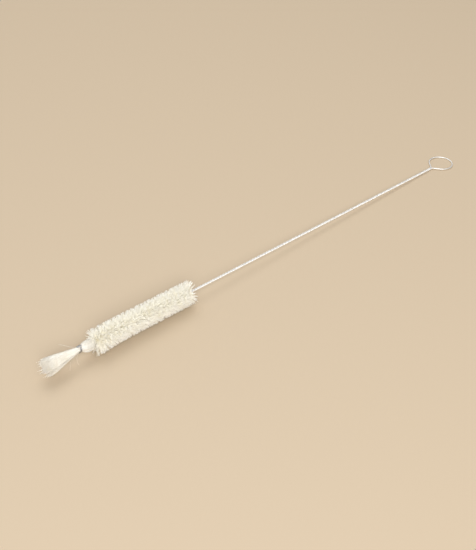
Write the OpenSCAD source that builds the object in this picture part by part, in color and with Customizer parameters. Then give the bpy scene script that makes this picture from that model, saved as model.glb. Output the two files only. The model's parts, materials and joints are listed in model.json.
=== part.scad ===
// Bottle brush: one wire folded into a hanging ring and twisted on itself, a round head of
// bristles held in the twist, and an end tuft tied with a thin wire.
// Each module draws its piece along the brush's own axis: Z runs from the ring's centre to the
// tuft, X is up and Y is across. lay_down() then lays the brush on its ring and its head.

/* [Wire] */
// Diameter of the wire
wire_d = 1.4; // [0.9:0.1:2]
// Width of the hole in the hanging ring
ring_bore = 25.5; // [18:0.5:36]
// From the ring's outer edge to where the two strands start to twist
throat_len = 3.2; // [2:0.2:8]
// Radius of the bend where each strand turns out of the twist
throat_bend = 2; // [1.5:0.1:4]
// Bare stem between the ring's throat and the head
stem_len = 361; // [120:1:500]
// How much the bristles between the strands spread them
core_spread = 0.3; // [0.1:0.1:0.8]

/* [Bristle head] */
// Diameter over the bristle tips
head_d = 25; // [12:1:60]
// Length of the head along its rim
head_len = 115; // [50:1:200]
// How far the last bristles fan out towards the stem
stem_fan = 5.5; // [1:0.5:12]
// How far the first bristles fan out towards the tuft
tuft_fan = 4.5; // [1:0.5:12]

/* [End tuft] */
// From the head's rim to the middle of the binding
binding_gap = 15.4; // [12:0.2:30]
// From the middle of the binding to the tuft's tip
tuft_len = 39; // [15:1:60]
// Largest diameter of the tuft
tuft_d = 16; // [10:1:40]
// Diameter of the bulge between the head and the binding
bulb_d = 11; // [8:0.5:30]
// Diameter of the hair bundle under the binding
neck_d = 5.2; // [4:0.2:10]
// From the core wire's end to the middle of the binding
core_setback = 5; // [3:0.5:8]

/* [Binding] */
// Diameter of the binding wire
binding_d = 1; // [0.6:0.1:1.2]
// Number of turns round the neck
binding_turns = 2; // [2:1:4]
// Length of the twisted ends
tail_len = 4.4; // [3:0.2:10]
// Where the twisted ends stand round the neck, from straight up towards +Y
tail_around = -15; // [-90:5:90]
// How far the turns lean towards the head on the side of the twisted ends
binding_lean = 20; // [0:1:25]

/* [Hidden] */
$fn = 64;

// radii
wire_r = wire_d / 2;
ring_r = ring_bore / 2 + wire_r;
stem_r = wire_d;
core_r = wire_d + core_spread / 2;
head_r = head_d / 2;
tuft_r = tuft_d / 2;
bulb_r = bulb_d / 2;
neck_r = neck_d / 2;
binding_r = binding_d / 2;

// places along the axis, from the ring's centre
throat_z = ring_r + wire_r + throat_len;
head_start = throat_z + stem_len;
root_start = head_start + stem_fan;
head_end = head_start + head_len;
root_end = head_end - tuft_fan;
binding_z = head_end + binding_gap;
core_end = binding_z - core_setback;
tuft_tip = binding_z + tuft_len;

// the ring's legs: each strand bends out of the twist and runs straight until it meets the ring
throat_reach = norm([throat_z, wire_r + throat_bend]);
leg_angle = asin((ring_r + throat_bend) / throat_reach) - atan2(wire_r + throat_bend, throat_z);
leg_start = [throat_z - throat_bend * sin(leg_angle), wire_r + throat_bend * (1 - cos(leg_angle))];
leg_end = ring_r * [sin(leg_angle), cos(leg_angle)];
// a leg is a hair thicker than the bends that it laps, so that they join as one solid
leg_r = wire_r + 0.02;
leg_lap = 0.15;
// the stem's round envelope takes in the first of each bend
throat_lap = 0.4;

// the binding sits in a straight stretch of neck, with a hair of clearance under its turns
turn_pitch = 1.08 * binding_d;
seat_clearance = 0.06;
turn_r = neck_r + seat_clearance + binding_r;
binding_w = turn_pitch * binding_turns + binding_d;
lean_rise = tan(binding_lean);
seat_margin = 0.3;
seat_half = binding_w / 2 + lean_rise * (turn_r + binding_r) + seat_margin;
seat_start = binding_z - seat_half;
seat_end = binding_z + seat_half;

// the tuft's outline
tuft_root = root_end + 1.2;
bulb_z = tuft_root + 0.62 * (seat_start - tuft_root);
flare_end = tuft_tip - 5;
// a lower power opens the flare sooner
flare_power = 0.7;
outline_steps = 8;

// how the brush lies: on the far side of its ring and on the head's rim
rest_span = [ring_r + head_start, head_r];
tilt = atan2(head_r, ring_r + head_start) - asin(wire_r / norm(rest_span));
rest_lift = ring_r * sin(tilt) + wire_r;
ring_reach = ring_r * cos(tilt) + wire_r;
tip_reach = tuft_tip * cos(tilt) + 0.75 * tuft_r * sin(tilt);
mid_x = (ring_reach - tip_reach) / 2;

// origin at the middle of the brush on the surface it lies on, +Z up, +X towards the ring
module lay_down() {
  translate([-mid_x, 0, rest_lift]) rotate([0, tilt - 90, 0]) children();
}

// draws in the ring's flat plane: x along the brush's axis, y across it
module in_ring_plane() {
  rotate([0, -90, 0]) children();
}

// an arc of wire of centreline radius r, from angle a through turn
module wire_arc(r, a, turn) {
  rotate([0, 0, a]) rotate_extrude(angle = turn) translate([r, 0]) circle(r = wire_r);
}

// one strand from the twist to the ring, whose straight leg laps the bend and the ring
module ring_leg() {
  translate([throat_z, wire_r + throat_bend, 0])
    wire_arc(throat_bend, 270 - leg_angle, leg_angle);
  translate([leg_start[0], leg_start[1], 0]) rotate([0, 90, 180 - leg_angle])
    translate([0, 0, -leg_lap])
      cylinder(r = leg_r, h = norm(leg_end - leg_start) + 2 * leg_lap);
}

module hanging_ring() {
  in_ring_plane() {
    wire_arc(ring_r, 90 - leg_angle, 180 + 2 * leg_angle);
    ring_leg();
    mirror([0, 1, 0]) ring_leg();
  }
}

// the twisted pair inside the round space that it turns in
module twisted_wire() {
  color([0.76, 0.77, 0.78]) lay_down() union() {
    hanging_ring();
    translate([0, 0, throat_z - throat_lap])
      cylinder(r = stem_r, h = root_start - throat_z + throat_lap);
    translate([0, 0, root_start]) cylinder(r = core_r, h = core_end - root_start);
  }
}

// the bristles as one round body, fanned out at both ends and clamped on the core
module bristle_head() {
  color([0.95, 0.92, 0.84]) lay_down()
    rotate_extrude() polygon([
      [core_r, root_start],
      [head_r, head_start],
      [head_r, head_end],
      [core_r, root_end]
    ]);
}

// the tuft's radius and height along the bulge and along the flare, t from 0 to 1
function bulb_rise(t) = [core_r + (bulb_r - core_r) * sin(90 * t), tuft_root + (bulb_z - tuft_root) * t];
function bulb_fall(t) = [neck_r + (bulb_r - neck_r) * cos(90 * t), bulb_z + (seat_start - bulb_z) * t];
function flare(t) = [
  neck_r + (tuft_r - neck_r) * sin(90 * pow(t, flare_power)),
  seat_end + (flare_end - seat_end) * t
];

module end_tuft() {
  color([0.96, 0.93, 0.86]) lay_down()
    rotate_extrude() polygon(concat(
      [for (i = [0:outline_steps]) bulb_rise(i / outline_steps)],
      [for (i = [1:outline_steps]) bulb_fall(i / outline_steps)],
      [for (i = [0:outline_steps]) flare(i / outline_steps)],
      [[tuft_r, tuft_tip - 2], [0.75 * tuft_r, tuft_tip], [0, tuft_tip]],
      [[0, core_end], [core_r, core_end]]
    ));
}

// the binding wire's route: up one twisted end, round the neck, and up the other
tail_lift = 12;
tail_spread = 1.1 * binding_r;
tail_twists = 1.25;
tail_steps = 8;
tail_root = [turn_r + 3.2 * binding_r, 0, binding_z - lean_rise * turn_r];
tail_along = [sin(tail_lift), 0, cos(tail_lift)];
tail_side = [cos(tail_lift), 0, -sin(tail_lift)];
tail_clear = 40;
turn_step = 20;
turn_end = 360 * binding_turns - tail_clear;

function tail_point(t, strand) =
  let (a = 360 * tail_twists * t + 180 * strand)
  tail_root + tail_len * t * tail_along
    + tail_spread * (sin(a) * [0, 1, 0] - cos(a) * tail_side);
function turn_climb(a) = turn_pitch * (a / 360 - binding_turns / 2) - lean_rise * turn_r * cos(a);
function turn_point(a) = [turn_r * cos(a), turn_r * sin(a), binding_z + turn_climb(a)];

binding_route = concat(
  [for (i = [tail_steps:-1:0]) tail_point(i / tail_steps, 0)],
  [for (a = [tail_clear:turn_step:turn_end]) turn_point(a)],
  [for (i = [0:tail_steps]) tail_point(i / tail_steps, 1)]
);

// a smooth curve through a list of points
function between(p, q, r, s, t) =
  0.5 * (2 * q + (r - p) * t + (2 * p - 5 * q + 4 * r - s) * t * t
    + (3 * q - p - 3 * r + s) * t * t * t);
function smooth_route(p, cuts) = concat(
  [for (i = [0:len(p) - 2], j = [0:cuts - 1])
    between(p[max(i - 1, 0)], p[i], p[i + 1], p[min(i + 2, len(p) - 1)], j / cuts)],
  [p[len(p) - 1]]
);

// a ring of points at each place on the route, carried along it without twisting
function unit(v) = v / norm(v);
function heading(p, i) = unit(p[min(i + 1, len(p) - 1)] - p[max(i - 1, 0)]);
function carried(p, i, side) =
  i == len(p) ? [] :
  let (h = heading(p, i), s = unit(side - (side * h) * h))
  concat([[s, cross(h, s)]], carried(p, i + 1, s));

module round_wire(route, r, sides, first_side) {
  axes = carried(route, 0, first_side);
  last = len(route) - 1;
  points = [for (i = [0:last], k = [0:sides - 1])
    let (a = 360 * k / sides) route[i] + r * (cos(a) * axes[i][0] + sin(a) * axes[i][1])];
  walls = [for (i = [0:last - 1], k = [0:sides - 1])
    let (n = (k + 1) % sides)
    [i * sides + k, i * sides + n, (i + 1) * sides + n, (i + 1) * sides + k]];
  start_cap = [[for (k = [0:sides - 1]) sides - 1 - k]];
  end_cap = [[for (k = [0:sides - 1]) last * sides + k]];
  polyhedron(points, [for (f = concat(walls, start_cap, end_cap)) [for (k = [len(f) - 1:-1:0]) f[k]]]);
}

module tuft_binding() {
  color([0.5, 0.5, 0.51]) lay_down() rotate([0, 0, tail_around])
    round_wire(smooth_route(binding_route, 2), binding_r, 8, [0, 1, 0]);
}

twisted_wire();
bristle_head();
end_tuft();
tuft_binding();
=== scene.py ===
"""A bottle brush: a twisted wire with a ring, a head of single bristles and a bound end tuft."""

import json
import math
from statistics import NormalDist

import bmesh
import bpy
import numpy as np
from bpy.props import (
    FloatProperty,
    FloatVectorProperty,
    IntProperty,
    PointerProperty,
)
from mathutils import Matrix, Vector


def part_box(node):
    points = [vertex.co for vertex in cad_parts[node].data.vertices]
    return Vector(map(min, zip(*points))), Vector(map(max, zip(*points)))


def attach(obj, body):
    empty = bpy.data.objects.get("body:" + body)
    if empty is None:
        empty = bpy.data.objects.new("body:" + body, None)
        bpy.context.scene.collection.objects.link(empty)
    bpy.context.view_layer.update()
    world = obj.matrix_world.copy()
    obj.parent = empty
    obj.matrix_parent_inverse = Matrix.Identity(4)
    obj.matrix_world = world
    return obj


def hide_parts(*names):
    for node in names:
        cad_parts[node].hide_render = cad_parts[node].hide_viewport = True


bl_info = {
    "name": "Bottle Brush",
    "version": (1, 0, 0),
    "blender": (4, 5, 0),
    "location": "View3D > Sidebar > Brush",
    "description": "Builds a twisted-wire bottle brush, bristle by bristle, on its packed frame",
    "category": "Object",
}

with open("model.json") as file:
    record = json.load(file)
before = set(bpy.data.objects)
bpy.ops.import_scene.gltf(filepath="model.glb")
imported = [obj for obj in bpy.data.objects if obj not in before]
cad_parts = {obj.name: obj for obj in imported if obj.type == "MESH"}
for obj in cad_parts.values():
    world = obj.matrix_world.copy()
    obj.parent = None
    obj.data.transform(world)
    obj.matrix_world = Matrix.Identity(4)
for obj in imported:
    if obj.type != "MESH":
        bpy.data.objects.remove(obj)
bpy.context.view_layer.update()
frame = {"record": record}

BODY = "root"
MM = 0.001
HAIR_SIDES = 3
WIRE_SIDES = 12
# Where the random draws of the head and of the tuft start.
HEAD_SEED = 11
TUFT_SEED = 23
# How a yellowed hair's tip differs from a clean one's.
YELLOWED = (0.995, 0.955, 0.82)
# A step that never falls into a pattern, so that its multiples spread evenly.
GOLDEN_SHARE = (math.sqrt(5) - 1) / 2
# The tuft's stray hairs, in millimetres: up, across, and ahead of the binding's middle.
STRAY_HAIRS = (
    ((-1.6, -1.7, 1.5), (-4.2, -4.4, 5.9), (-7.4, -7.5, 7.3), (-9.2, -9, 6.8)),
    ((-1.8, -1.8, 1.5), (-4.4, -4.6, 12.5), (-9, -5.2, 14), (-14, -5, 14.6)),
    ((1.7, 1.8, 1.5), (4.4, 4.6, 7.8), (6.6, 6.9, 11.5), (8.5, 8.8, 15.4)),
    ((1.8, 1.9, 1.5), (3.8, 4, 20), (4.2, 4.4, 34), (4.8, 5.1, 42)),
)

# ---------------------------------------------------------------------------
# The brush's own axes: x up, y across, z from the ring's centre to the tuft
# ---------------------------------------------------------------------------

mounts = {mount["name"]: mount for mount in frame["record"]["mounts"]}
eye, grip, head = (mounts[name] for name in ("hanging_eye", "stem_grip", "brush_head"))

along = Vector(grip["axis"]).normalized()
up = Vector(eye["axis"]).normalized()
across = along.cross(up)
ring_centre = Vector(eye["pos_m"])
to_row = np.array([list(up), list(across), list(along)])


def place_along(point):
    """How far a point of the row lies along the brush from the ring's centre."""
    return (Vector(point) - ring_centre).dot(along)


def in_row(points):
    """Points in the brush's own axes, moved to the row frame."""
    return np.asarray(points) @ to_row + np.array(ring_centre)


WIRE_D = grip["dims"]["r_mm"] * MM
RING_R = eye["dims"]["r_mm"] * MM + WIRE_D / 2
HEAD_R = head["dims"]["r_mm"] * MM
THROAT_Z = place_along(grip["pos_m"]) - grip["dims"]["length_mm"] * MM / 2
HEAD_START = place_along(head["pos_m"]) - head["dims"]["length_mm"] * MM / 2
HEAD_END = HEAD_START + head["dims"]["length_mm"] * MM
CORE_END = place_along((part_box("twisted_wire")[0].x, 0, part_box("twisted_wire")[1].z))
TUFT_LOW, TUFT_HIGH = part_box("end_tuft")
TUFT_R = (TUFT_HIGH.y - TUFT_LOW.y) / 2
TUFT_TIP = place_along((TUFT_LOW.x, 0, (TUFT_LOW.z + TUFT_HIGH.z) / 2))


# ---------------------------------------------------------------------------
# Sizes and colours that a user may change
# ---------------------------------------------------------------------------


def length(name, text, size_mm, **limits):
    """A length property whose default is given in millimetres."""
    return FloatProperty(
        name=name, description=text, default=size_mm * MM, unit="LENGTH", precision=5, **limits
    )


def angle(name, text, degrees):
    """An angle property whose default is given in degrees."""
    return FloatProperty(
        name=name, description=text, default=math.radians(degrees), unit="ROTATION"
    )


def colour(name, text, rgb):
    """A colour property."""
    return FloatVectorProperty(
        name=name, description=text, default=rgb, subtype="COLOR", size=3, min=0, max=1
    )


class WireSettings(bpy.types.PropertyGroup):
    """The folded and twisted wire."""

    diameter: length("Wire diameter", "Diameter of the wire", WIRE_D / MM)
    stem_pitch: length("Stem pitch", "Length of one full turn of the bare stem's twist", 4.3)
    core_pitch: length("Core pitch", "Length of one full turn inside the bristles", 10.4)
    core_spread: length("Core spread", "How far the bristles hold the strands apart", 0.3)
    throat_bend: length("Throat bend", "Bend where a strand turns out towards the ring", 2.0)
    untwist: length("Untwist", "Length over which the twist runs out at the throat", 3.0)
    steel: colour("Steel", "Colour of the tinned steel", (0.96, 0.955, 0.94))


class BristleSettings(bpy.types.PropertyGroup):
    """The bristle head."""

    rows: IntProperty(name="Rows", description="Rows of bristles along the head", default=82)
    row_clusters: IntProperty(name="Row clusters", description="Clusters in a row", default=42)
    cluster_size: IntProperty(name="Cluster size", description="Bristles in a cluster", default=4)
    filling: IntProperty(
        name="Filling", description="Short bristles deep in the head", default=6500
    )
    diameter: length("Bristle diameter", "Thickness of a bristle at its root", 0.32)
    filling_thickness: FloatProperty(
        name="Filling thickness", description="Thickness of the filling, in bristles", default=1.8
    )
    stem_fan: length("Stem fan", "How far the end bristles fan towards the stem", 5.5)
    tuft_fan: length("Tuft fan", "How far the end bristles fan towards the tuft", 4.5)
    spread: angle("Spread", "Fanning of the clusters out of the twist", 40)
    lean: angle("Lean", "Lean of the bristles towards the stem", 11)
    stem_lean: angle("Stem lean", "How much more the end bristles lean towards the stem", 30)
    tuft_lean: angle("Tuft lean", "How far the end bristles lean back, towards the tuft", 44)
    splay_side: angle("Splay side", "Where both ends splay most, from up towards +Y", -160)
    # The root colour is painted shade: it darkens and yellows the bristles deep in the head.
    shaded_root_colour: colour("Root colour", "Colour deep in the head", (0.995, 0.955, 0.79))
    tip_colour: colour("Tip colour", "Colour of the tips", (1, 0.983, 0.925))


class TuftSettings(bpy.types.PropertyGroup):
    """The end tuft."""

    count: IntProperty(name="Hairs", description="Number of hairs in the tuft", default=4600)
    locks: IntProperty(name="Locks", description="Locks that the hairs gather in", default=90)
    diameter: length("Hair diameter", "Thickness of a tuft hair", 0.24)
    bulge: length("Bulge", "Diameter of the bulge behind the binding", 10.9)
    neck: length("Neck", "Diameter of the bundle under the binding", 5.2)
    ragged: length("Ragged", "How unevenly the hairs end", 2.2)
    droop: length("Droop", "How far the tuft's tip hangs below the brush's axis", 1.6)
    sag: length("Sag", "How far the bulge hangs below the brush's axis", 1.2)
    split: angle("Split", "Where a lock stands apart, from up towards +Y", -134)
    # The root colour is painted shade: it darkens the tuft's bulb and neck next to its lighter
    # tips.
    shaded_root_colour: colour("Root colour", "Colour at the roots", (0.83, 0.805, 0.74))
    tip_colour: colour("Tip colour", "Colour at the tips", (0.945, 0.915, 0.85))


class BindingSettings(bpy.types.PropertyGroup):
    """The wire round the tuft's neck."""

    gap: length("Gap", "From the head's rim to the middle of the binding", 15.4)
    diameter: length("Binding diameter", "Diameter of the binding wire", 1.0)
    turns: IntProperty(name="Turns", description="Turns round the neck", default=2)
    pitch: length("Binding pitch", "From one turn to the next", 1.08)
    lean: angle("Lean", "Lean of the turns towards the head, where the twisted ends are", 20)
    tail: length("Tail", "Length of the twisted ends", 4.4)
    tail_around: angle("Tail around", "Where the twisted ends stand, from up towards +Y", -15)
    tail_lift: angle("Tail lift", "How steeply the twisted ends stand off the tuft", 12)
    steel: colour("Steel", "Colour of the duller binding steel", (0.5, 0.5, 0.51))


class StageSettings(bpy.types.PropertyGroup):
    """The floor, the lights and the camera."""

    floor_colour: colour("Floor", "Colour of the floor", (0.58, 0.47, 0.34))
    azimuth: angle("Azimuth", "Where the camera stands round the brush", -40.96)
    elevation: angle("Elevation", "How far the camera looks down", 39.4)
    aim_x: length("Aim x", "Where the camera looks, along the brush", -49.65)
    aim_y: length("Aim y", "Where the camera looks, across the brush", 0.8)
    distance: length("Distance", "From the camera to the point it looks at", 1006.7)
    lens: FloatProperty(name="Lens", description="Focal length in millimetres", default=64.58)


# ---------------------------------------------------------------------------
# Making meshes
# ---------------------------------------------------------------------------


def tubes(name, routes, radii, sides):
    """One mesh of wires or hairs: each route is a list of points in the row frame.

    radii gives each route's radius at its points.
    """
    profile = bpy.data.curves.new(name + "_profile", "CURVE")
    ring = profile.splines.new("POLY")
    ring.points.add(sides - 1)
    for point, turn in zip(ring.points, np.arange(sides) * 2 * np.pi / sides):
        point.co = (math.cos(turn), math.sin(turn), 0, 1)
    ring.use_cyclic_u = True
    curve = bpy.data.curves.new(name + "_routes", "CURVE")
    curve.dimensions = "3D"
    curve.bevel_mode = "OBJECT"
    for route, radius in zip(routes, radii):
        spline = curve.splines.new("POLY")
        spline.points.add(len(route) - 1)
        spline.points.foreach_set("co", np.c_[route, np.ones(len(route))].ravel())
        spline.points.foreach_set("radius", radius)
    holders = [bpy.data.objects.new(data.name, data) for data in (curve, profile)]
    for holder in holders:
        bpy.context.scene.collection.objects.link(holder)
    curve.bevel_object = holders[1]
    graph = bpy.context.evaluated_depsgraph_get()
    mesh = bpy.data.meshes.new_from_object(holders[0].evaluated_get(graph))
    mesh.name = name
    for holder in holders:
        bpy.data.objects.remove(holder)
    close_ends(mesh)
    return mesh


def wire_mesh(name, route, diameter):
    """One smooth round wire along a route in the row frame."""
    mesh = tubes(name, [route], [np.full(len(route), diameter / 2)], WIRE_SIDES)
    mesh.shade_smooth()
    return mesh


def close_ends(mesh):
    """Close every open end of the tubes in a mesh."""
    bm = bmesh.new()
    bm.from_mesh(mesh)
    ends = [edge for edge in bm.edges if edge.is_boundary]
    bmesh.ops.edgeloop_fill(bm, edges=ends)
    bmesh.ops.recalc_face_normals(bm, faces=bm.faces)
    bm.to_mesh(mesh)
    bm.free()


def piece(name, mesh, material, node):
    """A finished piece that rides on the brush and stands for a CAD node."""
    mesh.materials.clear()
    mesh.materials.append(material)
    made = bpy.data.objects.new(name, mesh)
    bpy.context.scene.collection.objects.link(made)
    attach(made, BODY)
    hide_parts(node)


# ---------------------------------------------------------------------------
# Materials
# ---------------------------------------------------------------------------

# The steel's darker patches, how much duller its dull ones are, and its drawn lines.
STEEL_PATCH = 0.85
DULLER = 0.16
DRAWN_LINE_DEPTH = 0.04 * MM
DRAWN_LINE_STRENGTH = 0.25
# The roughness of the smoothest and the roughest hair, and how strongly each one shines.
BRISTLE_ROUGHNESS = (0.5, 0.7)
BRISTLE_SPECULAR = 0.22


def new_material(name):
    """A material with its principled shader and its node tree."""
    material = bpy.data.materials.new(name)
    material.use_nodes = True
    nodes = material.node_tree.nodes
    shader = nodes["Principled BSDF"]
    return material, nodes, material.node_tree.links, shader


def noise(nodes, links, scale, detail, stretch=(1, 1, 1)):
    """Noise in the object's own space, stretched along an axis where stretch is small."""
    where = nodes.new("ShaderNodeTexCoord")
    fit = nodes.new("ShaderNodeMapping")
    fit.inputs["Scale"].default_value = stretch
    grain = nodes.new("ShaderNodeTexNoise")
    grain.inputs["Scale"].default_value = scale
    grain.inputs["Detail"].default_value = detail
    links.new(where.outputs["Object"], fit.inputs["Vector"])
    links.new(fit.outputs["Vector"], grain.inputs["Vector"])
    return grain.outputs["Fac"]


def spread_range(nodes, links, value, low, high, start=0.0, end=1.0):
    """value from start..end mapped to low..high."""
    fit = nodes.new("ShaderNodeMapRange")
    fit.inputs["From Min"].default_value = start
    fit.inputs["From Max"].default_value = end
    fit.inputs["To Min"].default_value = low
    fit.inputs["To Max"].default_value = high
    links.new(value, fit.inputs["Value"])
    return fit.outputs["Result"]


def mixed(nodes, links, factor, first, second):
    """A colour between two colours, each given as three numbers or as a socket."""
    mix = nodes.new("ShaderNodeMix")
    mix.data_type = "RGBA"
    links.new(factor, mix.inputs["Factor"])
    for socket, value in ((mix.inputs[6], first), (mix.inputs[7], second)):
        if hasattr(value, "links"):
            links.new(value, socket)
        else:
            socket.default_value = (*value, 1)
    return mix.outputs[2]


def steel_material(name, tone, dull):
    """Drawn steel wire: fine lines and patches in its colour, its polish and its surface."""
    material, nodes, links, shader = new_material(name)
    shader.inputs["Metallic"].default_value = 1
    patches = noise(nodes, links, scale=900, detail=4, stretch=(0.25, 1, 1))
    dark = tuple(STEEL_PATCH * c for c in tone)
    patch = spread_range(nodes, links, patches, 0, 1, start=0.35, end=0.65)
    links.new(mixed(nodes, links, patch, dark, tone), shader.inputs["Base Color"])
    rough = spread_range(nodes, links, patches, dull, dull + DULLER, start=0.3, end=0.7)
    links.new(rough, shader.inputs["Roughness"])
    bump = nodes.new("ShaderNodeBump")
    bump.inputs["Strength"].default_value = DRAWN_LINE_STRENGTH
    bump.inputs["Distance"].default_value = DRAWN_LINE_DEPTH
    lines = noise(nodes, links, scale=4000, detail=2, stretch=(0.1, 1, 1))
    links.new(lines, bump.inputs["Height"])
    links.new(bump.outputs["Normal"], shader.inputs["Normal"])
    return material


def bristle_material(name, root, tip):
    """Bleached bristle with painted shade, darker at the root; each hair a little different, some
    yellowed.
    """
    material, nodes, links, shader = new_material(name)
    run, tone = (nodes.new("ShaderNodeAttribute") for _ in range(2))
    run.attribute_name = "hair_run"
    tone.attribute_name = "hair_tone"
    yellow = tuple(c * k for c, k in zip(tip, YELLOWED))
    # From root to tip the colour lightens: painted shade deep among the hairs, lighter at their
    # tips.
    clean = mixed(nodes, links, run.outputs["Fac"], root, tip)
    aged = mixed(nodes, links, run.outputs["Fac"], root, yellow)
    patch = noise(nodes, links, scale=160, detail=3)
    share = nodes.new("ShaderNodeMath")
    share.operation = "MULTIPLY"
    by_hair = spread_range(nodes, links, tone.outputs["Fac"], 0, 1, start=0.3)
    by_place = spread_range(nodes, links, patch, 0.2, 1, start=0.35, end=0.65)
    links.new(by_hair, share.inputs[0])
    links.new(by_place, share.inputs[1])
    links.new(mixed(nodes, links, share.outputs[0], clean, aged), shader.inputs["Base Color"])
    rough = spread_range(nodes, links, tone.outputs["Fac"], *BRISTLE_ROUGHNESS)
    links.new(rough, shader.inputs["Roughness"])
    shader.inputs["Specular IOR Level"].default_value = BRISTLE_SPECULAR
    return material


# ---------------------------------------------------------------------------
# The wire
# ---------------------------------------------------------------------------

# How finely the wire's route is cut: points in a bend and in half the ring, and the twist's steps.
BEND_POINTS = 8
HALF_RING_POINTS = 49
TURN_STEP = math.radians(20)
TINNED_ROUGHNESS = 0.46


class Twist:
    """The twist's angle and the strands' distance from the axis, along the brush."""

    STEP = 0.1 * MM
    BLEND = 5 * MM

    def __init__(self, wire, head_root):
        self.z = np.arange(THROAT_Z, CORE_END + self.STEP, self.STEP)
        in_core = np.clip((self.z - head_root) / self.BLEND + 0.5, 0, 1)
        in_core = in_core**2 * (3 - 2 * in_core)
        running = np.clip((self.z - THROAT_Z) / wire.untwist, 0, 1)
        rate = 2 * np.pi * ((1 - in_core) / wire.stem_pitch + in_core / wire.core_pitch)
        self.turned = np.cumsum(rate * running) * self.STEP
        self.off_axis = wire.diameter / 2 + in_core * wire.core_spread / 2

    def angle(self, z):
        """How far the twist has turned at z; 0 at the throat."""
        return np.interp(z, self.z, self.turned)

    def strand(self, side):
        """One strand's centre line from the throat to the core's end; side is 1 or -1."""
        count = int(self.turned[-1] / TURN_STEP) + 1
        z = np.interp(np.linspace(0, self.turned[-1], count), self.turned, self.z)
        z[0] = THROAT_Z
        off = side * np.interp(z, self.z, self.off_axis)
        turned = self.angle(z)
        return np.c_[off * np.sin(turned), off * np.cos(turned), z]


def wire_route(wire, twist):
    """The whole wire as one line: down one strand, round the ring and back up the other."""
    wire_r = wire.diameter / 2
    bend = wire.throat_bend
    reach = math.hypot(THROAT_Z, wire_r + bend)
    leg = math.asin((RING_R + bend) / reach) - math.atan2(wire_r + bend, THROAT_Z)
    turn = np.linspace(0, leg, BEND_POINTS + 1)[1:]
    bending = np.c_[
        np.zeros(len(turn)),
        wire_r + bend * (1 - np.cos(turn)),
        THROAT_Z - bend * np.sin(turn),
    ]
    round_ring = np.linspace(math.pi / 2 - leg, math.pi, HALF_RING_POINTS)
    half_ring = np.c_[
        np.zeros(len(round_ring)), RING_R * np.sin(round_ring), RING_R * np.cos(round_ring)
    ]
    upper = np.r_[twist.strand(1)[::-1], bending, half_ring]
    lower = upper * (1, -1, 1)
    lower[: -len(bending) - len(half_ring)] = twist.strand(-1)[::-1]
    return np.r_[upper, lower[-2::-1]]


class BRUSH_OT_wire(bpy.types.Operator):
    """Fold and twist the steel wire into the ring, the stem and the core"""

    bl_idname = "brush.wire"
    bl_label = "Twisted Wire"

    def execute(self, context):
        brush = context.scene.brush
        twist = Twist(brush.wire, HEAD_START + brush.bristles.stem_fan)
        route = in_row(wire_route(brush.wire, twist))
        mesh = wire_mesh("folded_wire", route, brush.wire.diameter)
        steel = steel_material("tinned_steel", brush.wire.steel, TINNED_ROUGHNESS)
        piece("folded_wire", mesh, steel, "twisted_wire")
        return {"FINISHED"}


# ---------------------------------------------------------------------------
# Bristles and hairs
# ---------------------------------------------------------------------------

# What a hair keeps of its thickness at its tip, and how late it thins.
HEAD_TAPER = 0.6
TUFT_TAPER = 0.9
LATE_TAPER = 1.5

# How many points a bristle has, how far from the axis it starts, and the power that makes it
# turn out of the twist soon after its root.
BRISTLE_POINTS = 4
BRISTLE_ROOT_R = 0.4 * MM
EARLY_TURN = 0.5

# How deep the fanned ends reach, and how far past the last root the rows are counted, which
# crowds them there.
STEM_END = 4.5 * MM
TUFT_END = 5 * MM
FILLING_END = 6 * MM
CROWDED_ROWS = 2.5 * MM
CROWDED_FILLING = 7 * MM

# How much more the bristles fan on the side where both ends splay.
STEM_SPLAY = 0.4
TUFT_SPLAY = 0.16
# How far bristles that lean back reach, next to ones that stand up.
BACK_REACH = 1.1
# How much further back the filling leans than the rows do.
FILLING_BACK = 1.6

# Where a row stands in its share of the head, and how much of the lean back towards the tuft
# a cluster takes.
ROW_PLACE = (0.3, 0.7)
TAKES_LEAN = (0.2, 1)

# The widths of the bell curves by which rows, clusters and single bristles differ.
ROW_LEAN = math.radians(1.5)
ROW_BOW = 0.15 * MM
CLUSTER_LEAN = math.radians(2)
CLUSTER_TRIM = 0.035
ROOT_SHIFT = 0.25 * MM
TIP_SHIFT = 0.16 * MM
TIP_TURN = math.radians(0.9)
TIP_TRIM = 0.012
BRISTLE_BOW = 0.12 * MM
FILLING_TURN = math.radians(22)
FILLING_LEAN = math.radians(14)

# The shares of clusters and bristles that end short, with how far they reach next to others.
SHORT_CLUSTERS = 0.12
SHORT_CLUSTER_REACH = (0.7, 0.95)
SHORT_BRISTLES = 0.06
SHORT_BRISTLE_REACH = (0.82, 0.97)
# How far the filling reaches, as a share of the head's radius.
FILLING_REACH = (0.5, 0.84)
# How loosely clusters hold together, the share of bristles that stand loose, and how far these
# stray.
CLUSTER_LOOSENESS = (0.5, 1.4)
LOOSE_BRISTLES = 0.06
LOOSENESS = 6

# The part of its fan that a cluster already has at its root, and the share of the fan's bell
# curve that is left out at either end.
ROOT_FAN = 0.9
FAN_CUT = 0.03

# The part of a hair's tone that it shares with its cluster or lock.
CLUSTER_TONE = 0.7
LOCK_TONE = 0.6


def above_floor(points, clearance):
    """The points, with those under the surface the brush lies on bent up to it."""
    low = points[..., 2] < clearance
    points[..., 2][low] = clearance
    return points


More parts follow.
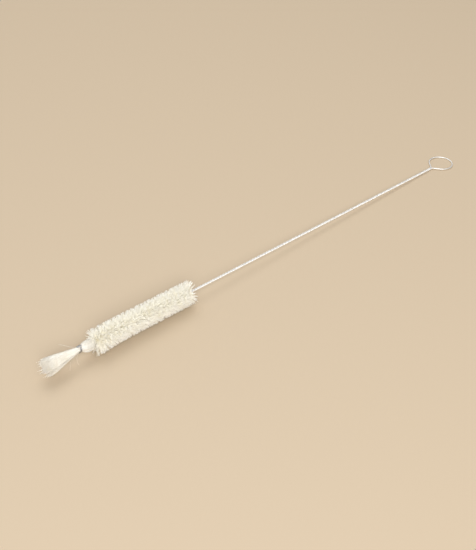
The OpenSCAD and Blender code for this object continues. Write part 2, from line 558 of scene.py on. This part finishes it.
def hair_piece(name, routes, tones, widths, taper, material, slot, node):
    """A piece of hairs, each with its own tone and with how far along it each point lies."""
    count, steps, _ = routes.shape
    run = np.linspace(0, 1, steps)
    radii = np.asarray(widths)[:, None] / 2 * (1 - (1 - taper) * run**LATE_TAPER)
    mesh = tubes(name, routes, radii, HAIR_SIDES)
    if len(mesh.vertices) != count * steps * HAIR_SIDES:
        raise RuntimeError(f"{name}: a hair has lost points")
    for attribute, values in (
        ("hair_tone", np.repeat(tones, steps * HAIR_SIDES)),
        ("hair_run", np.tile(np.repeat(run, HAIR_SIDES), count)),
    ):
        layer = mesh.attributes.new(attribute, "FLOAT", "POINT")
        layer.data.foreach_set("value", values.astype(np.float32))
    piece(name, mesh, material, node)


def normal_spread(share):
    """The place in a bell curve, in its own widths, below which a share of it lies."""
    return np.array([NormalDist().inv_cdf(s) for s in share])


def root_span(bristles):
    """Where the bristles' roots start and end along the brush."""
    return HEAD_START + bristles.stem_fan, HEAD_END - bristles.tuft_fan


def bristle_routes(turns, heights, tip_r, curve=1, bow_turn=0, bow_z=0):
    """Bristles in the brush's own axes, from the core to their tips.

    turns and heights hold the roots' and the tips'. A curve below 1 makes a bristle turn soon
    after its root, and the bows bend its middle.
    """
    t = np.linspace(0, 1, BRISTLE_POINTS)[:, None]
    hump = 4 * t * (1 - t)
    r = BRISTLE_ROOT_R + (tip_r - BRISTLE_ROOT_R) * t
    turn = turns[0] + (turns[1] - turns[0]) * t**curve + bow_turn * hump
    z = heights[0] + (heights[1] - heights[0]) * t + bow_z * hump
    return np.stack([r * np.sin(turn), r * np.cos(turn), z], axis=-1).swapaxes(0, 1)


def head_bristles(bristles, twist, rng):
    """The bristles that make the head's rows, in the brush's own axes, and their tones."""
    first, last = root_span(bristles)
    rows = bristles.rows
    row_place = np.arange(rows) + rng.uniform(*ROW_PLACE, rows)
    row_z = first + (last + CROWDED_ROWS - first) * row_place / rows
    row_lean = rng.normal(0, ROW_LEAN, rows)
    row_bow = rng.normal(0, ROW_BOW, rows)

    # The clusters in each row, fanned out on one side of the twist.
    groups = rows * bristles.row_clusters
    number = np.arange(groups)
    row = number // bristles.row_clusters
    group_z = np.clip(row_z[row] + rng.normal(0, ROOT_SHIFT, groups), first, last)
    share = np.clip((number * GOLDEN_SHARE) % 1, FAN_CUT, 1 - FAN_CUT)
    group_fan = bristles.spread * normal_spread(share)
    group_turn = twist.angle(group_z) + np.pi / 2 + (row % 2) * np.pi
    splayed = np.cos(group_turn + group_fan - bristles.splay_side)
    from_stem = np.exp(-(group_z - first) / STEM_END)
    from_tuft = np.exp(-(last - group_z) / TUFT_END)
    group_lean = (
        bristles.lean
        + bristles.stem_lean * from_stem * rng.random(groups) * (1 + STEM_SPLAY * splayed)
        - bristles.tuft_lean * from_tuft * rng.uniform(*TAKES_LEAN, groups)
        + row_lean[row]
        + rng.normal(0, CLUSTER_LEAN, groups)
    )
    group_r = HEAD_R * (1 - np.abs(rng.normal(0, CLUSTER_TRIM, groups)))
    leaning_back = np.minimum(1, BACK_REACH * np.cos(group_lean))
    group_r = np.where(group_lean < 0, group_r * leaning_back, group_r)
    group_r = group_r * (1 + TUFT_SPLAY * from_tuft**0.5 * np.clip(splayed, 0, 1))
    short = rng.random(groups) < SHORT_CLUSTERS
    group_r = np.where(short, group_r * rng.uniform(*SHORT_CLUSTER_REACH, groups), group_r)
    group_tip = group_z - np.tan(group_lean) * group_r
    looseness = rng.uniform(*CLUSTER_LOOSENESS, groups)

    # Their bristles, each near the middle of its cluster.
    count = groups * bristles.cluster_size
    group = rng.integers(0, groups, count)
    loose = np.where(rng.random(count) < LOOSE_BRISTLES, LOOSENESS, looseness[group])
    root_z = np.clip(group_z[group] + rng.normal(0, ROOT_SHIFT, count), first, last)
    root_turn = group_turn[group] + ROOT_FAN * group_fan[group]
    tip_turn = (group_turn + group_fan)[group] + loose * rng.normal(0, TIP_TURN, count)
    tip_z = group_tip[group] + loose * rng.normal(0, TIP_SHIFT, count)
    tip_r = group_r[group] * (1 - np.abs(rng.normal(0, TIP_TRIM, count)))
    short = rng.random(count) < SHORT_BRISTLES
    tip_r = np.where(short, tip_r * rng.uniform(*SHORT_BRISTLE_REACH, count), tip_r)
    bow_z = row_bow[row[group]] + rng.normal(0, BRISTLE_BOW, count)
    bow_turn = rng.normal(0, TIP_TURN, count)
    tone = CLUSTER_TONE * rng.random(groups)[group] + (1 - CLUSTER_TONE) * rng.random(count)
    turns, heights = (root_turn, tip_turn), (root_z, tip_z)
    return bristle_routes(turns, heights, tip_r, EARLY_TURN, bow_turn, bow_z), tone


def head_filling(bristles, rng):
    """The shorter and thicker bristles deep in the head, which lie less neatly."""
    count = bristles.filling
    first, last = root_span(bristles)
    root_z = np.minimum(rng.uniform(first, last + CROWDED_FILLING, count), last)
    turn = rng.uniform(0, 2 * np.pi, count)
    tip_turn = turn + rng.normal(0, FILLING_TURN, count)
    from_tuft = np.exp(-(last - root_z) / FILLING_END)
    lean = bristles.lean + rng.normal(0, FILLING_LEAN, count)
    lean = lean - FILLING_BACK * bristles.tuft_lean * from_tuft * rng.random(count)
    reach = HEAD_R * rng.uniform(*FILLING_REACH, count)
    tip_z = root_z - reach * np.sin(lean)
    tone = rng.random(count)
    return bristle_routes((turn, tip_turn), (root_z, tip_z), reach * np.cos(lean)), tone


class BRUSH_OT_head(bpy.types.Operator):
    """Set the bristles in the twist, fanned out at both ends of the head"""

    bl_idname = "brush.head"
    bl_label = "Bristle Head"

    def execute(self, context):
        brush = context.scene.brush
        bristles = brush.bristles
        rng = np.random.default_rng(HEAD_SEED)
        twist = Twist(brush.wire, HEAD_START + bristles.stem_fan)
        rows, row_tones = head_bristles(bristles, twist, rng)
        fill, fill_tones = head_filling(bristles, rng)
        thickness = np.r_[np.ones(len(rows)), np.full(len(fill), bristles.filling_thickness)]
        widths = bristles.diameter * thickness
        routes, tones = np.r_[rows, fill], np.r_[row_tones, fill_tones]
        order = np.argsort(routes[:, 0, 2])
        routes = above_floor(in_row(routes), bristles.diameter / 2)
        bristle = bristle_material("bleached_bristle", bristles.shaded_root_colour, bristles.tip_colour)
        names = ("stem_end_bristles", "middle_bristles", "tuft_end_bristles")
        for name, here in zip(names, np.array_split(order, len(names))):
            hairs = routes[here], tones[here], widths[here], HEAD_TAPER
            hair_piece(name, *hairs, bristle, "head_bristle", "bristle_head")
        return {"FINISHED"}


# ---------------------------------------------------------------------------
# The tuft
# ---------------------------------------------------------------------------

# Where the tuft's first hairs are held, where it bulges most, and how far short of the tip its
# middle hairs end on average.
TUFT_ROOT = HEAD_END - 4.4 * MM
BULGE_Z = HEAD_END + 6.2 * MM
SHORT_OF_TIP = 5 * MM
# How much sooner the outer hairs end than the inner ones.
ROUNDED_TIP = 1.5 * MM
# How far on each side of the binding's middle the hairs run straight.
NECK_HALF = 1.2 * MM
# How far the outer hairs stay inside the neck, so that the binding lies on them.
NECK_INSET = 0.1 * MM
# The flare's radius at the tip, as a share of TUFT_R, and how far past the tip a hair still
# follows the flare, as a share of its length.
FLARE_WIDTH = 1.04
FLARE_LIMIT = 1.15
# The powers that bend the outline: up to the bulge, down to the neck and along the flare; and
# those by which the flare's droop and its locks build up.
BACK_POWER = 0.35
WAIST_POWER = 0.7
FLARE_POWER = 1.2
DROOP_POWER = 0.8
LOCK_POWER = 1.2
# How unevenly the roots lie along the core, and how much further on the middle ones are, in
# millimetres.
ROOT_RAGGED = 2.5
MIDDLE_ROOTS = 6
# How far from the axis a hair leaves the core, and how soon it is in its place in the tuft.
HAIR_ROOT_R = 1.2 * MM
HAIR_LEAVES = 2.5 * MM
LEAVING_POWER = 0.7
# The least depth that still says which way a hair leaves.
LEAST_DEPTH = 0.05
# How many points a hair has behind the binding and ahead of it, and the powers that crowd them
# towards the binding.
POINTS_BEHIND = 6
POINTS_AHEAD = 5
CROWD_BEHIND = 0.8
CROWD_AHEAD = 1.3

# How the locks differ in flare, in bulge and in length, and how close each draws together.
LOCK_FLARE = 0.05
LOCK_BULGE = 0.12
LOCK_END = 1.2 * MM
LOCK_PULL = (0.05, 0.45)
# How far a hair strays from its lock at the tip.
HAIR_DRIFT = 0.03
# The lock that stands apart: how far out it starts and how far it stands off, as shares of
# the tuft's radius.
SPLIT_FROM = 0.6
SPLIT_BY = 0.16
# The shares of hairs that end short or stand out, and by how much; LONG_BY is in millimetres.
SHORT_HAIRS = 0.12
SHORT_BY = 9 * MM
LONG_HAIRS = 0.03
LONG_BY = (1, 3)

# A stray hair's line is cut finely and then thinned to a tuft hair's number of points.
STRAY_CUTS = 10
STRAY_STEP = 3


def spread_out(number):
    """Places spread evenly over a disc of radius 1, one after another."""
    at = np.arange(number)
    turn = 2 * np.pi * GOLDEN_SHARE * at
    return np.sqrt((at + 0.5) / number)[:, None] * np.c_[np.cos(turn), np.sin(turn)]


def tuft_outline(tuft, z, tie, bulge_share, flare_share):
    """The tuft's radius at each hair's points, their place along the flare and their sag.

    tie is where each hair passes the middle of the binding; the shares are its lock's.
    """
    bulge, neck = tuft.bulge / 2, tuft.neck / 2 - NECK_INSET
    held, freed = tie - NECK_HALF, tie + NECK_HALF
    rise = np.clip((z - TUFT_ROOT) / (BULGE_Z - TUFT_ROOT), 0, 1)
    fall = np.clip((z - BULGE_Z) / (held - BULGE_Z), 0, 1)
    flare = np.clip((z - freed) / (TUFT_TIP - freed), 0, FLARE_LIMIT)
    back = np.sin(np.pi / 2 * rise) ** BACK_POWER * bulge * bulge_share
    waist = neck + (bulge - neck) * np.cos(np.pi / 2 * fall) ** WAIST_POWER
    waist = waist * bulge_share ** np.cos(np.pi / 2 * fall)
    swell = np.sin(np.pi / 2 * np.clip(flare, 0, 1) ** FLARE_POWER)
    opened = neck + (TUFT_R * FLARE_WIDTH - neck) * swell * flare_share
    outline = np.where(z < BULGE_Z, back, np.where(z < held, waist, opened))
    sagging = np.sin(np.pi / 2 * rise) * np.cos(np.pi / 2 * fall)
    return outline, flare, tuft.droop * flare**DROOP_POWER + tuft.sag * sagging


def tuft_hairs(tuft, binding, rng):
    """Every hair of the tuft as points in the brush's own axes, and its tone."""
    count = tuft.count
    locks = spread_out(tuft.locks)
    lock_flare = 1 + rng.normal(0, LOCK_FLARE, tuft.locks)
    lock_end = rng.normal(0, LOCK_END, tuft.locks)
    lock_pull = rng.uniform(*LOCK_PULL, tuft.locks)
    lock_bulge = 1 + rng.normal(0, LOCK_BULGE, tuft.locks)
    place = spread_out(count)
    lock = np.argmin(((place[:, None] - locks[None]) ** 2).sum(-1), axis=1)
    depth = np.hypot(place[:, 0], place[:, 1])

    # Where each hair starts and ends along the brush.
    uneven = rng.uniform(0, ROOT_RAGGED, count)
    root_z = TUFT_ROOT + MM * (uneven + MIDDLE_ROOTS * (1 - depth) * rng.random(count))
    short = np.where(rng.random(count) < SHORT_HAIRS, rng.uniform(0, SHORT_BY, count), 0)
    end = TUFT_TIP - SHORT_OF_TIP + lock_end[lock] - ROUNDED_TIP * depth**2
    end = end - rng.normal(0, tuft.ragged, count) - short
    long = rng.random(count) < LONG_HAIRS
    end = np.where(long, end + rng.uniform(*LONG_BY, count) * MM, end)

    # Its points: behind the binding and ahead of it.
    tail_side = np.array([math.cos(binding.tail_around), math.sin(binding.tail_around)])
    neck = tuft.neck / 2 - NECK_INSET
    tie = HEAD_END + binding.gap - math.tan(binding.lean) * neck * (place @ tail_side)
    root_z, end, tie = root_z[:, None], end[:, None], tie[:, None]
    behind = np.linspace(0, 1, POINTS_BEHIND)[None, :] ** CROWD_BEHIND
    ahead = np.linspace(0, 1, POINTS_AHEAD)[None, :] ** CROWD_AHEAD
    held, freed = tie - NECK_HALF, tie + NECK_HALF
    z = np.c_[root_z + (held - root_z) * behind, freed + (end - freed) * ahead]
    shares = lock_bulge[lock][:, None], lock_flare[lock][:, None]
    outline, flare, hang = tuft_outline(tuft, z, tie, *shares)

    # Its place across the tuft, drawn towards its lock, and how it leaves the core.
    pull = (lock_pull[lock][:, None] * flare**LOCK_POWER)[..., None]
    here = place[:, None] * (1 - pull) + locks[lock][:, None] * pull
    here = here + rng.normal(0, HAIR_DRIFT, (count, 1, 2)) * flare[..., None] ** 2
    towards = np.array([math.cos(tuft.split), math.sin(tuft.split)])
    standing_off = (place @ towards > SPLIT_FROM)[:, None, None]
    here = here + SPLIT_BY * standing_off * np.clip(flare[..., None], 0, 1) * towards
    leaving = (np.clip((z - root_z) / HAIR_LEAVES, 0, 1) ** LEAVING_POWER)[..., None]
    out = place / np.maximum(depth, LEAST_DEPTH)[:, None]
    flat = leaving * here * outline[..., None] + (1 - leaving) * HAIR_ROOT_R * out[:, None]
    flat[..., 0] -= hang
    tone = LOCK_TONE * rng.random(tuft.locks)[lock] + (1 - LOCK_TONE) * rng.random(count)
    return np.concatenate([flat, z[..., None]], axis=-1), tone


def stray_hairs(binding_z):
    """The few hairs that hang or stand out of the tuft, in the brush's own axes."""
    middle = np.array([0, 0, binding_z])
    lines = (smooth_line(middle + MM * np.array(line), STRAY_CUTS) for line in STRAY_HAIRS)
    return np.array([line[::STRAY_STEP] for line in lines])


class BRUSH_OT_tuft(bpy.types.Operator):
    """Gather the end tuft through its binding and flare it to a ragged tip"""

    bl_idname = "brush.tuft"
    bl_label = "End Tuft"

    def execute(self, context):
        brush = context.scene.brush
        tuft = brush.tuft
        rng = np.random.default_rng(TUFT_SEED)
        routes, tones = tuft_hairs(tuft, brush.binding, rng)
        strays = stray_hairs(HEAD_END + brush.binding.gap)
        routes = above_floor(in_row(np.r_[routes, strays]), tuft.diameter / 2)
        tones = np.r_[tones, rng.random(len(strays))]
        hair = bristle_material("tuft_hair", tuft.shaded_root_colour, tuft.tip_colour)
        names = ("inner_tuft_hairs", "outer_tuft_hairs")
        for name, here in zip(names, np.array_split(np.arange(len(routes)), len(names))):
            hairs = routes[here], tones[here], np.full(len(here), tuft.diameter), TUFT_TAPER
            hair_piece(name, *hairs, hair, "tuft_bristle", "end_tuft")
        return {"FINISHED"}


# ---------------------------------------------------------------------------
# The binding
# ---------------------------------------------------------------------------

NECK_CLEARANCE = 0.06 * MM
# The twisted ends: how far off the coil they stand and how far apart their strands are, in
# radii of the wire, their turns, and the points of a strand.
TAIL_STAND_OFF = 3.2
TAIL_SWING = 1.1
TAIL_TURNS = 1.25
TAIL_POINTS = 9
# How far round the neck from the twisted ends the coil starts and stops.
COIL_CLEAR = math.radians(40)
COIL_CUTS = 3
BINDING_ROUGHNESS = 0.28


def smooth_line(points, cuts):
    """A smooth line through the points, with cuts stretches from one to the next."""
    p = np.asarray(points)
    before, after = np.r_[p[:1], p[:-1]], np.r_[p[1:], p[-1:]]
    slope = (after - before) / 2
    t = (np.arange(cuts) / cuts)[None, :, None]
    start, end = p[:-1, None], p[1:, None]
    leave, arrive = slope[:-1, None], slope[1:, None]
    line = (
        (2 * t**3 - 3 * t**2 + 1) * start
        + (t**3 - 2 * t**2 + t) * leave
        + (3 * t**2 - 2 * t**3) * end
        + (t**3 - t**2) * arrive
    )
    return np.r_[line.reshape(-1, 3), p[-1:]]


def binding_route(binding, tuft):
    """The binding wire: down one twisted end, round the neck and up the other."""
    wire_r = binding.diameter / 2
    turn_r = tuft.neck / 2 + wire_r + NECK_CLEARANCE
    middle = HEAD_END + binding.gap
    slope = math.tan(binding.lean) * turn_r
    lift = binding.tail_lift
    root = np.array([turn_r + TAIL_STAND_OFF * wire_r, 0, middle - slope])
    out = np.array([math.sin(lift), 0, math.cos(lift)])
    side = np.array([math.cos(lift), 0, -math.sin(lift)])
    sideways = np.array([0, 1, 0])

    def tail(strand):
        t = np.linspace(0, 1, TAIL_POINTS)[:, None]
        turned = 2 * np.pi * TAIL_TURNS * t + np.pi * strand
        swing = np.sin(turned) * sideways - np.cos(turned) * side
        return root + binding.tail * t * out + TAIL_SWING * wire_r * swing

    coil_end = 2 * np.pi * binding.turns - COIL_CLEAR
    turned = np.arange(COIL_CLEAR, coil_end + TURN_STEP / 2, TURN_STEP)
    climb = binding.pitch * (turned / (2 * np.pi) - binding.turns / 2) - slope * np.cos(turned)
    coil = np.c_[turn_r * np.cos(turned), turn_r * np.sin(turned), middle + climb]
    line = smooth_line(np.r_[tail(0)[::-1], coil, tail(1)], COIL_CUTS)
    c, s = math.cos(binding.tail_around), math.sin(binding.tail_around)
    return line @ np.array([[c, s, 0], [-s, c, 0], [0, 0, 1]])


class BRUSH_OT_binding(bpy.types.Operator):
    """Wind the thin binding wire round the tuft's neck and twist its ends"""

    bl_idname = "brush.binding"
    bl_label = "Tuft Binding"

    def execute(self, context):
        brush = context.scene.brush
        route = in_row(binding_route(brush.binding, brush.tuft))
        mesh = wire_mesh("binding_wire", route, brush.binding.diameter)
        steel = steel_material("binding_steel", brush.binding.steel, BINDING_ROUGHNESS)
        piece("binding_wire", mesh, steel, "tuft_binding")
        return {"FINISHED"}


# ---------------------------------------------------------------------------
# The stage
# ---------------------------------------------------------------------------

FLOOR_SIZE = 12
FLOOR_ROUGHNESS = 0.9
FLOOR_SPECULAR = 0.2
# Each softbox's place from the point it faces, as the camera sees it (right, away and high),
# its size and its watts.
SOFTBOXES = {
    "key": ((-0.3, 1.0, 2.1), 1.8, 19),
    "front": ((0.1, -1.9, 1.45), 1.3, 44),
}
SURROUND_COLOUR = (1, 0.99, 0.97)
SURROUND_STRENGTH = 0.53
# Light has to bounce this often between pale hairs before it is spent.
BOUNCES = 48


def softbox(name, place, aim, size, watts):
    """A square area lamp at place that faces aim."""
    lamp = bpy.data.lights.new(name, "AREA")
    lamp.size = size
    lamp.energy = watts
    made = bpy.data.objects.new(name, lamp)
    made.location = place
    made.rotation_euler = (Vector(aim) - Vector(place)).to_track_quat("-Z", "Y").to_euler()
    bpy.context.scene.collection.objects.link(made)


def make_floor(tone):
    """A plain pale floor."""
    bpy.ops.mesh.primitive_plane_add(size=FLOOR_SIZE)
    floor = bpy.context.object
    floor.name = "floor"
    material, _, _, shader = new_material("floor_paint")
    shader.inputs["Base Color"].default_value = (*tone, 1)
    shader.inputs["Roughness"].default_value = FLOOR_ROUGHNESS
    shader.inputs["Specular IOR Level"].default_value = FLOOR_SPECULAR
    floor.data.materials.append(material)


class BRUSH_OT_stage(bpy.types.Operator):
    """Set the floor, the soft lights and the camera"""

    bl_idname = "brush.stage"
    bl_label = "Stage"

    def execute(self, context):
        stage = context.scene.brush.stage
        make_floor(stage.floor_colour)
        aim = Vector((stage.aim_x, stage.aim_y, 0))
        back = Vector((
            math.sin(stage.azimuth) * math.cos(stage.elevation),
            -math.cos(stage.azimuth) * math.cos(stage.elevation),
            math.sin(stage.elevation),
        ))
        camera = bpy.data.objects.new("camera", bpy.data.cameras.new("camera"))
        camera.data.lens = stage.lens
        camera.location = aim + stage.distance * back
        camera.rotation_euler = (-back).to_track_quat("-Z", "Y").to_euler()
        context.scene.collection.objects.link(camera)
        context.scene.camera = camera
        right = Vector((math.cos(stage.azimuth), math.sin(stage.azimuth), 0))
        away = Vector((-math.sin(stage.azimuth), math.cos(stage.azimuth), 0))
        high = Vector((0, 0, 1))
        for name, (place, size, watts) in SOFTBOXES.items():
            offset = place[0] * right + place[1] * away + place[2] * high
            softbox(name, aim + offset, aim, size, watts)
        world = bpy.data.worlds.new("studio")
        world.use_nodes = True
        surround = world.node_tree.nodes["Background"]
        surround.inputs["Color"].default_value = (*SURROUND_COLOUR, 1)
        surround.inputs["Strength"].default_value = SURROUND_STRENGTH
        context.scene.world = world
        context.scene.view_settings.view_transform = "Standard"
        context.scene.cycles.denoising_prefilter = "FAST"
        context.scene.cycles.max_bounces = BOUNCES
        context.scene.cycles.diffuse_bounces = BOUNCES
        return {"FINISHED"}


# ---------------------------------------------------------------------------
# The panel and the run
# ---------------------------------------------------------------------------


class BrushSettings(bpy.types.PropertyGroup):
    """Everything about the brush that a user may change."""

    wire: PointerProperty(type=WireSettings)
    bristles: PointerProperty(type=BristleSettings)
    tuft: PointerProperty(type=TuftSettings)
    binding: PointerProperty(type=BindingSettings)
    stage: PointerProperty(type=StageSettings)


STEPS = (BRUSH_OT_stage, BRUSH_OT_wire, BRUSH_OT_head, BRUSH_OT_tuft, BRUSH_OT_binding)


class BRUSH_PT_panel(bpy.types.Panel):
    """The brush's pieces and sizes in the sidebar"""

    bl_idname = "BRUSH_PT_panel"
    bl_label = "Bottle Brush"
    bl_space_type = "VIEW_3D"
    bl_region_type = "UI"
    bl_category = "Brush"

    def draw(self, context):
        brush = context.scene.brush
        for step in STEPS:
            self.layout.operator(step.bl_idname)
        for group in (brush.wire, brush.bristles, brush.tuft, brush.binding, brush.stage):
            box = self.layout.box()
            for name in group.__annotations__:
                box.prop(group, name)


CLASSES = (
    WireSettings,
    BristleSettings,
    TuftSettings,
    BindingSettings,
    StageSettings,
    BrushSettings,
    *STEPS,
    BRUSH_PT_panel,
)


def register():
    for cls in CLASSES:
        bpy.utils.register_class(cls)
    bpy.types.Scene.brush = PointerProperty(type=BrushSettings)


def unregister():
    del bpy.types.Scene.brush
    for cls in reversed(CLASSES):
        bpy.utils.unregister_class(cls)


def main():
    register()
    bpy.ops.brush.stage()
    bpy.ops.brush.wire()
    bpy.ops.brush.head()
    bpy.ops.brush.tuft()
    bpy.ops.brush.binding()


if __name__ == "__main__":
    main()
